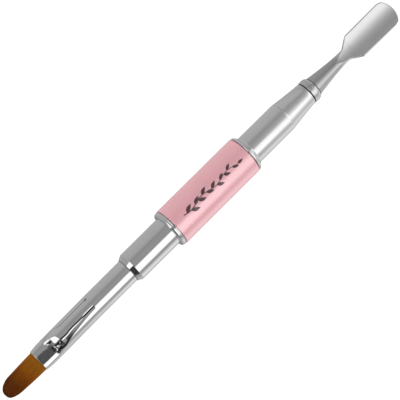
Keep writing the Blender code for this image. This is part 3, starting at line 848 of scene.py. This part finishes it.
def make_strands(name, count, seed):
    """Loose hairs over the core: thin, tapered, four-sided strands that follow the tuft and end unevenly."""
    rng = random.Random(seed)
    points, faces, along, shades = [], [], [], []
    rings, sides = 12, 4
    for _ in range(count):
        across = rng.uniform(-1.0, 1.0)
        height = rng.choice((-1.0, 1.0)) * rng.uniform(0.94, 1.03)
        end = tuft_share(tuft_end(across)) - abs(rng.gauss(0.0, 0.012))
        thick = rng.uniform(0.035, 0.07) * MM
        shade = rng.random() ** 2
        wander = rng.uniform(-0.012, 0.012)
        start = len(points)
        for i in range(rings):
            share = i / (rings - 1)
            at = mix(-0.01, end, share)
            drift = across + wander * math.sin(math.pi * share)
            x, y, z = tuft_point(max(at, 0.0), clamp(drift, -1.0, 1.0), height)
            x = mix(LIP_X, TUFT_TIP_X, at)
            radius = thick * (1 - 0.75 * share ** 3)
            for k in range(sides):
                angle = math.tau * k / sides
                points.append((x, y + radius * math.cos(angle), z + radius * math.sin(angle)))
                along.append(clamp(at))
                shades.append(shade)
        faces += capped_faces(rings, sides, start)
    mesh = bpy.data.meshes.new(name)
    mesh.from_pydata([(x, y, z + AXIS_Z) for x, y, z in points], [], faces)
    mesh.shade_smooth()
    piece = add_object(name, mesh)
    add_attribute(piece, "along", along)
    add_attribute(piece, "shade", shades)
    return piece


# ------ the spatula

def stud_radius(x, angle):
    """The radius of the bolster's right-handed thread."""
    turn = (x / STUD_PITCH - angle / math.tau) % 1.0
    from_crest = min(turn, 1.0 - turn)
    root_from, flank_width = 0.29, 0.2
    height = clamp((root_from - from_crest) / flank_width)
    fade = clamp((x - STUD_X) / (0.25 * MM))
    return STUD_ROOT + (STUD_CREST - STUD_ROOT) * height * fade


def make_bolster():
    """The polished bead and, in one piece with it, the threaded stud behind it."""
    shoulder, reach = 1.6 * MM, 1.3 * MM
    front = SHANK_START_X - 0.08 * MM
    edge = 0.16 * MM
    neck, bore = 1.2 * MM, 1.4 * MM
    groove = 0.06 * MM
    outline = [(front - groove, SHANK_RADIUS - 0.04 * MM)]
    outline += arc(front - reach - groove, BOLSTER_RADIUS - shoulder, shoulder,
                   math.degrees(math.acos(reach / shoulder)), 90, 16)
    outline += arc(BOLSTER_X + edge, BOLSTER_RADIUS - edge - 0.02 * MM, edge, 90, 180, 6)
    outline += [(BOLSTER_X, neck), (BOLSTER_X + 0.7 * MM, neck), (front - 0.1 * MM, bore), (front, bore)]
    outline = supported(outline)
    points = turned_points(outline)
    faces = grid_faces(len(outline), TURN_STEPS, close_rows=True)
    stations, columns = 150, 48
    start = len(points)
    for i in range(stations):
        x = mix(STUD_X, BOLSTER_X + 0.3 * MM, i / (stations - 1))
        for j in range(columns):
            angle = math.tau * j / columns
            radius = stud_radius(x, angle)
            points.append((x, -radius * math.sin(angle), radius * math.cos(angle)))
    faces += capped_faces(stations, columns, start)
    return make_mesh("bolster_bead", points, faces)


# Along the spatula: where the scoop starts, where it is narrowest, and where the blade is whole.
SCOOP_X = SHANK_X + 9.4 * MM
NECK_X = SHANK_X + 11.9 * MM
FLAT_X = SHANK_X + 17.2 * MM


def shank_radius(x):
    return mix(NECK_RADIUS, SHANK_RADIUS, ((NECK_X - x) / (NECK_X - SHANK_START_X)) ** 1.45)


SCOOP_TOP = shank_radius(SCOOP_X)


def spatula_plan():
    """(x, half width) along the shank and blade, from the bolster to the rounded end."""
    points = []
    steps = 110
    for i in range(steps + 1):
        x = mix(SHANK_START_X, NECK_X, i / steps)
        points.append((x, shank_radius(x)))
    fillet, corner, slope = 2.4 * MM, 0.7 * MM, 40
    flare_x = NECK_X + 1.3 * MM
    points += arc(flare_x, NECK_RADIUS + fillet, fillet, 270, 270 + slope, 24)
    shoulder_x = flare_x + 4.35 * MM
    blade_start = BLADE_HALF_WIDTH - 0.14 * MM
    corner_points = arc(shoulder_x, blade_start - corner, corner, 90 + slope, 90, 8)
    points += line(points[-1], corner_points[0], 24)
    points += corner_points
    end_centre = BLADE_TIP_X - BLADE_END_RADIUS
    corner_angle = math.degrees(math.acos(BLADE_HALF_WIDTH / BLADE_END_RADIUS))
    end_x = end_centre + BLADE_END_RADIUS * math.sin(math.radians(corner_angle))
    points += line((shoulder_x, blade_start), (end_x, BLADE_HALF_WIDTH), 16)
    steps, cut_share, cut_depth = 30, 1 / 6, 0.22 * MM
    for i in range(steps + 1):
        share = 1 - (1 - i / steps) ** 1.5
        angle = math.radians(mix(corner_angle, 89.0, share))
        cut = cut_depth * max(1 - share / cut_share, 0.0) ** 2
        x = end_centre + BLADE_END_RADIUS * math.sin(angle)
        points.append((x, BLADE_END_RADIUS * math.cos(angle) - cut))
    return points


def ring_columns(edge):
    """Places across the upper side, from -1 to 1, with one column on each edge of the scoop."""
    sides, middle = 28, 34
    places = [-edge - (1 - edge) * math.cos(math.pi / 2 * i / sides) for i in range(sides)]
    places += [mix(-edge, edge, i / middle) for i in range(middle)]
    return places + [edge + (1 - edge) * math.sin(math.pi / 2 * i / sides) for i in range(sides)]


def spatula_ring(x, half_width):
    """A section: a round bar on the shank, a hollow-ground blade after it, and the scoop between them."""
    share = smooth_step((x - NECK_X) / (FLAT_X - NECK_X))
    along_blade = clamp((x - FLAT_X) / (BLADE_TIP_X - FLAT_X))
    thin = BLADE_HALF_THICKNESS * mix(1.0, 0.6, along_blade)
    bar = min(half_width, SHANK_RADIUS)
    tip_power = 2.2
    tip = (1 - clamp(1 - (BLADE_TIP_X - x) / BLADE_HALF_WIDTH) ** tip_power) ** (1 / tip_power)
    upper = mix(bar, 2.3 * thin, share) * tip
    lower = mix(bar, thin, share) * tip
    upper_power, lower_power = mix(2.0, 2.2, share), mix(2.0, 4.5, share)
    centre = -BLADE_DROP * share
    runout = clamp((FLAT_X - x) / (FLAT_X - SCOOP_X))
    runout = (smooth_step(runout) + runout ** 1.3) / 2
    floor = -BLADE_DROP + thin + (SCOOP_TOP + BLADE_DROP - BLADE_HALF_THICKNESS) * runout

    def hollow(across):
        return (half_width * across) ** 2 / (2 * BLADE_HOLLOW_RADIUS)

    def surface(across, height, power):
        return centre + share * hollow(across) + height * max(1 - abs(across) ** power, 0.0) ** (1 / power)

    edge = mix(0.5, 0.05, clamp((x - SHANK_START_X) / (SCOOP_X - SHANK_START_X)))
    scooped = x > SCOOP_X
    # The scoop's edge is where its floor meets the surface round it.
    if scooped:
        low, high = mix(0.05, 0.6, clamp((x - SCOOP_X) / (FLAT_X - SCOOP_X))), 1.0
        for _ in range(24):
            edge = (low + high) / 2
            if surface(edge, upper, upper_power) > floor + hollow(edge):
                low = edge
            else:
                high = edge
    places = ring_columns(edge)
    ring = []
    for across in places:
        z = surface(across, upper, upper_power)
        ring.append((x, half_width * across, min(z, floor + hollow(across)) if scooped else z))
    columns = len(places)
    for j in range(columns):
        across = math.cos(math.pi * j / columns)
        ring.append((x, half_width * across, surface(across, -lower, lower_power)))
    return ring


def make_spatula():
    """The steel shank and blade, with a round tang that enters the bolster."""
    tang_end_x, tang_scale = SHANK_X - 1.5 * MM, 1.3 * MM / NECK_RADIUS
    tang = [(y * tang_scale, z * tang_scale) for _, y, z in spatula_ring(NECK_X - 4.0 * MM, NECK_RADIUS)]
    rings = [[(x, y, z) for y, z in tang] for x in (tang_end_x, SHANK_START_X)]
    rings += [spatula_ring(x, half_width) for x, half_width in spatula_plan()]
    points = [point for ring in rings for point in ring]
    piece = make_mesh("spatula_steel", points, capped_faces(len(rings), len(rings[0])), 30)
    reach = 0.35 * (FLAT_X - SCOOP_X)
    ground = [smooth_step((vert.co.x - SCOOP_X) / reach) for vert in piece.data.vertices]
    add_attribute(piece, "ground", ground)
    return piece


# ------ dressing and assembly

def dress(piece, material, body, slot, *nodes):
    """Give a piece its material, attach it to the body it moves with, and hide the CAD nodes it stands for.
    """
    piece.data.materials.clear()
    piece.data.materials.append(material)
    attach(piece, body)
    if nodes:
        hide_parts(*nodes)


def paint(node, material):
    """A CAD node that stays gets a better material."""
    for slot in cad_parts[node].material_slots:
        slot.material = material


def build():
    chrome = make_chrome("chrome")
    # The ferrule's chrome carries painted shade and painted reflection from its "crease" attribute.
    ferrule_chrome = make_chrome("ferrule_chrome", 0.63, 0.06, painted_shade=True)
    polished = make_chrome("polished_steel", 0.52, 0.12)
    steel = make_satin_steel("satin_steel", 0.42, 0.56, 0.27)
    brass = make_turned_metal("brass", (0.72, 0.50, 0.22), 0.24)
    aluminium = make_turned_metal("aluminium", (0.74, 0.75, 0.77), 0.34, rings=False)
    rubber = make_soft_plain("rubber", (0.02, 0.02, 0.021), (0.012, 0.012, 0.012), 0.5, 3500.0, 0.000006)
    thread = make_soft_plain("thread", (0.72, 0.66, 0.55), (0.58, 0.52, 0.42), 0.7, 9000.0, 0.00002)
    resin = make_soft_plain("resin", (0.55, 0.42, 0.2), (0.42, 0.30, 0.12), 0.2, 1500.0, 0.000004)
    root_hair = make_soft_plain("root_hair", (0.20, 0.06, 0.01), (0.12, 0.03, 0.006), 0.45, 4000.0, 0.00001)
    hair = make_hair()

    dress(make_barrel(), make_pink(), "handle", "pink_anodised", "barrel")
    dress(make_sprig(), make_ink(), "handle", "pink_anodised")
    for make, node in ((make_brush_collar, "brush_collar"), (make_spatula_collar, "spatula_collar"),
                       (make_brush_sleeve, "brush_sleeve"), (make_tapered_sleeve, "tapered_sleeve")):
        dress(make(), chrome, "handle", "chrome", node)
    dress(make_ferrule(), ferrule_chrome, "brush_head", "chrome", "ferrule")
    dress(make_bolster(), polished, "spatula_head", "polished_steel", "bolster")
    dress(make_spatula(), steel, "spatula_head", "satin_steel", "spatula")

    for piece in (make_tuft_core(), make_strands("tuft_strands", 900, 11)):
        piece.data.materials.append(hair)
        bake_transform(piece)
        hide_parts("bristle_tuft")

    for node in ("ferrule_stud", "brush_insert", "spatula_insert"):
        paint(node, brass)
    for node in ("brush_seal", "spatula_seal"):
        paint(node, rubber)
    paint("core_tube", aluminium)
    paint("hair_root", root_hair)
    paint("root_binding", thread)
    paint("glue_plug", resin)


# ------ studio

# The camera's tilt towards the brush, its turn about its own axis, and the middle of its view.
TILT = math.radians(10.4)
TURN = math.radians(44.77)
VIEW_DISTANCE = 520 * MM
VIEW_WIDTH = 116 * MM
AIM_X, AIM_RIGHT, AIM_UP = -2.32 * MM, 0.534 * MM, 0.326 * MM


def make_camera():
    """A camera above the tool, a little towards the brush, turned so that the tool rises to the right."""
    along = Vector((math.cos(TILT), 0.0, math.sin(TILT)))
    across = Vector((0.0, 1.0, 0.0))
    back = along.cross(across)
    right = along * math.cos(TURN) - across * math.sin(TURN)
    up = along * math.sin(TURN) + across * math.cos(TURN)
    aim = Vector((AIM_X, 0.0, AXIS_Z)) + right * AIM_RIGHT + up * AIM_UP
    data = bpy.data.cameras.new("camera")
    data.lens = data.sensor_width * VIEW_DISTANCE / VIEW_WIDTH
    data.clip_start = 0.01
    camera = add_object("camera", data)
    turn = Matrix((right, up, back)).transposed().to_4x4()
    camera.matrix_world = Matrix.Translation(aim + back * VIEW_DISTANCE) @ turn
    bpy.context.scene.camera = camera


# The studio round the tool, as (degrees from the zenith towards -Y, radiance): a strip light at 20 to 60.
# The strip has a hard edge towards the brush end and a soft one towards the spatula end, where the blade has
# a softer stretch of its own.
NEAR_STUDIO = [
    (-180, 0.3), (-160, 0.46), (-148, 0.56), (-132, 0.61), (-104, 0.6), (-60, 0.57), (-50, 0.52),
    (-43, 0.464), (-36, 0.39), (-28, 0.41), (-20, 0.43), (4, 0.44), (10, 0.42), (15.5, 0.5), (20.5, 1.75),
    (57, 1.75), (67, 0.75), (75, 0.43), (84, 0.47), (94, 0.78), (105, 1.07), (117, 1.18), (132, 0.95),
    (143, 0.8), (155, 0.6), (165, 0.42), (180, 0.3)]
FAR_STUDIO = [
    (-180, 0.3), (-160, 0.48), (-148, 0.58), (-132, 0.66), (-104, 0.64), (-60, 0.61), (-43, 0.53),
    (-32, 0.44), (-16, 0.49), (0, 0.6), (16, 0.88), (24, 1.16), (32, 1.42), (41, 1.6), (49, 1.6), (58, 1.4),
    (67, 1.1), (77, 0.8), (88, 0.76), (104, 0.94), (117, 1.05), (132, 0.93), (143, 0.8), (155, 0.6),
    (165, 0.42), (180, 0.3)]
BLADE_STUDIO = [
    (-180, 0.3), (-132, 0.6), (-60, 0.46), (-48, 0.42), (-25, 0.5), (-12, 0.64), (0, 0.95), (8, 1.22),
    (20, 1.52), (34, 1.66), (46, 1.55), (58, 1.22), (67, 1.02), (88, 0.74), (117, 1.05), (143, 0.8),
    (180, 0.3)]
STUDIO_PEAK = 2.0
GREY_END, WHITE_CARD, BLACK_CARD, DARK_SPOT = 0.52, 1.7, 0.06, 0.11
SPOT_PLACE, SPOT_SIZE = (-0.07, -0.105), (0.07, 0.15)


def make_world():
    """The studio: even light on dull surfaces, and the studio itself in reflections."""
    world = bpy.data.worlds.new("studio")
    tree = Nodes(world)
    world.cycles.sampling_method = "NONE"
    bpy.context.scene.world = world
    nodes, links, calc = tree.nodes, tree.links, tree.math
    nodes.clear()

    def times(a, b):
        return calc("MULTIPLY", a, b)

    def ease(value, low, high):
        """From 0 below low to 1 above high."""
        return tree.spread(value, low, high, how="SMOOTHSTEP")

    def fall(value, low, high):
        """From 1 below low to 0 above high."""
        return ease(times(value, -1.0), -high, -low)

    def between(value, low, low_end, high_start, high):
        return times(ease(value, low, low_end), fall(value, high_start, high))

    def toward(value, goal, amount):
        return calc("ADD", value, times(calc("SUBTRACT", goal, value), amount))

    direction = nodes.new("ShaderNodeTexCoord").outputs["Generated"]
    split = nodes.new("ShaderNodeSeparateXYZ")
    links.new(direction, split.inputs["Vector"])
    x, y, z = split.outputs
    turn = calc("ARCTAN2", times(y, -1.0), z)
    degrees = times(turn, 360 / math.tau)
    share = calc("ADD", calc("DIVIDE", turn, math.tau), 0.5)

    def studio_ramp(studio_stops):
        ramp = nodes.new("ShaderNodeValToRGB")
        stops = ramp.color_ramp.elements
        while len(stops) > 1:
            stops.remove(stops[-1])
        for i, (angle, radiance) in enumerate(studio_stops):
            place = angle / 360 + 0.5
            stop = stops[0] if i == 0 else stops.new(place)
            stop.position = place
            stop.color = (radiance / STUDIO_PEAK,) * 3 + (1.0,)
        links.new(share, ramp.inputs["Fac"])
        return times(ramp.outputs["Color"], STUDIO_PEAK)

    around = toward(studio_ramp(NEAR_STUDIO), studio_ramp(FAR_STUDIO), ease(x, 0.16, 0.27))
    around = toward(around, studio_ramp(BLADE_STUDIO), between(x, 0.274, 0.292, 0.34, 0.40))

    # The light from low on the -Y side is weaker except towards the spatula end.
    low_light = times(between(degrees, 90.0, 105.0, 138.0, 150.0), fall(x, 0.09, 0.13))
    around = times(around, calc("SUBTRACT", 1.0, times(low_light, 0.25)))

    # Before the brush end the studio is grey, with a white card on the +Y side and a black one opposite.
    before_brush = fall(x, -0.36, -0.30)
    white = times(between(degrees, -48.0, -40.0, -3.0, 1.0), times(before_brush, ease(z, 0.02, 0.16)))
    black = times(between(degrees, -2.0, 2.0, 80.0, 100.0), between(x, -0.92, -0.86, -0.46, -0.40))

    # The camera itself shows as a dark spot near the zenith.
    spot_x = calc("DIVIDE", calc("SUBTRACT", x, SPOT_PLACE[0]), SPOT_SIZE[0])
    spot_y = calc("DIVIDE", calc("SUBTRACT", y, SPOT_PLACE[1]), SPOT_SIZE[1])
    from_spot = calc("ADD", times(spot_x, spot_x), times(spot_y, spot_y))

    studio = toward(around, GREY_END, before_brush)
    studio = toward(studio, BLACK_CARD, black)
    studio = toward(studio, WHITE_CARD, white)
    studio = toward(studio, DARK_SPOT, fall(from_spot, 0.7, 1.3))

    path = nodes.new("ShaderNodeLightPath")
    dull_or_camera = calc("MAXIMUM", path.outputs["Is Diffuse Ray"], path.outputs["Is Camera Ray"])
    mixed = nodes.new("ShaderNodeMixShader")
    tree.put(dull_or_camera, mixed.inputs["Fac"])
    for strength, socket in zip((studio, 1.0), (mixed.inputs[1], mixed.inputs[2])):
        background = nodes.new("ShaderNodeBackground")
        tree.put((1.0, 1.0, 1.0), background.inputs["Color"])
        tree.put(strength, background.inputs["Strength"])
        tree.put(background.outputs["Background"], socket)
    output = nodes.new("ShaderNodeOutputWorld")
    links.new(mixed.outputs["Shader"], output.inputs["Surface"])


def make_floor():
    """A plain white table, which the chrome doesn't reflect."""
    half = 2.0
    corners = [(-half, -half, 0.0), (half, -half, 0.0), (half, half, 0.0), (-half, half, 0.0)]
    mesh = bpy.data.meshes.new("table")
    mesh.from_pydata(corners, [], [(0, 1, 2, 3)])
    table = add_object("table", mesh)
    table.location.z = -0.1 * MM
    s = Shader("table_white", Roughness=0.9, Specular_IOR_Level=0.0, Emission_Strength=0.65)
    s.set("Emission Color", (1.0, 1.0, 1.0))
    s.set("Base Color", s.blend(s.noise(40.0), (0.60, 0.60, 0.60), (0.62, 0.62, 0.62)))
    mesh.materials.append(s.material)
    table.visible_glossy = False


def main():
    bpy.context.scene.view_settings.view_transform = "Standard"
    build()
    make_world()
    make_floor()
    make_camera()


main()
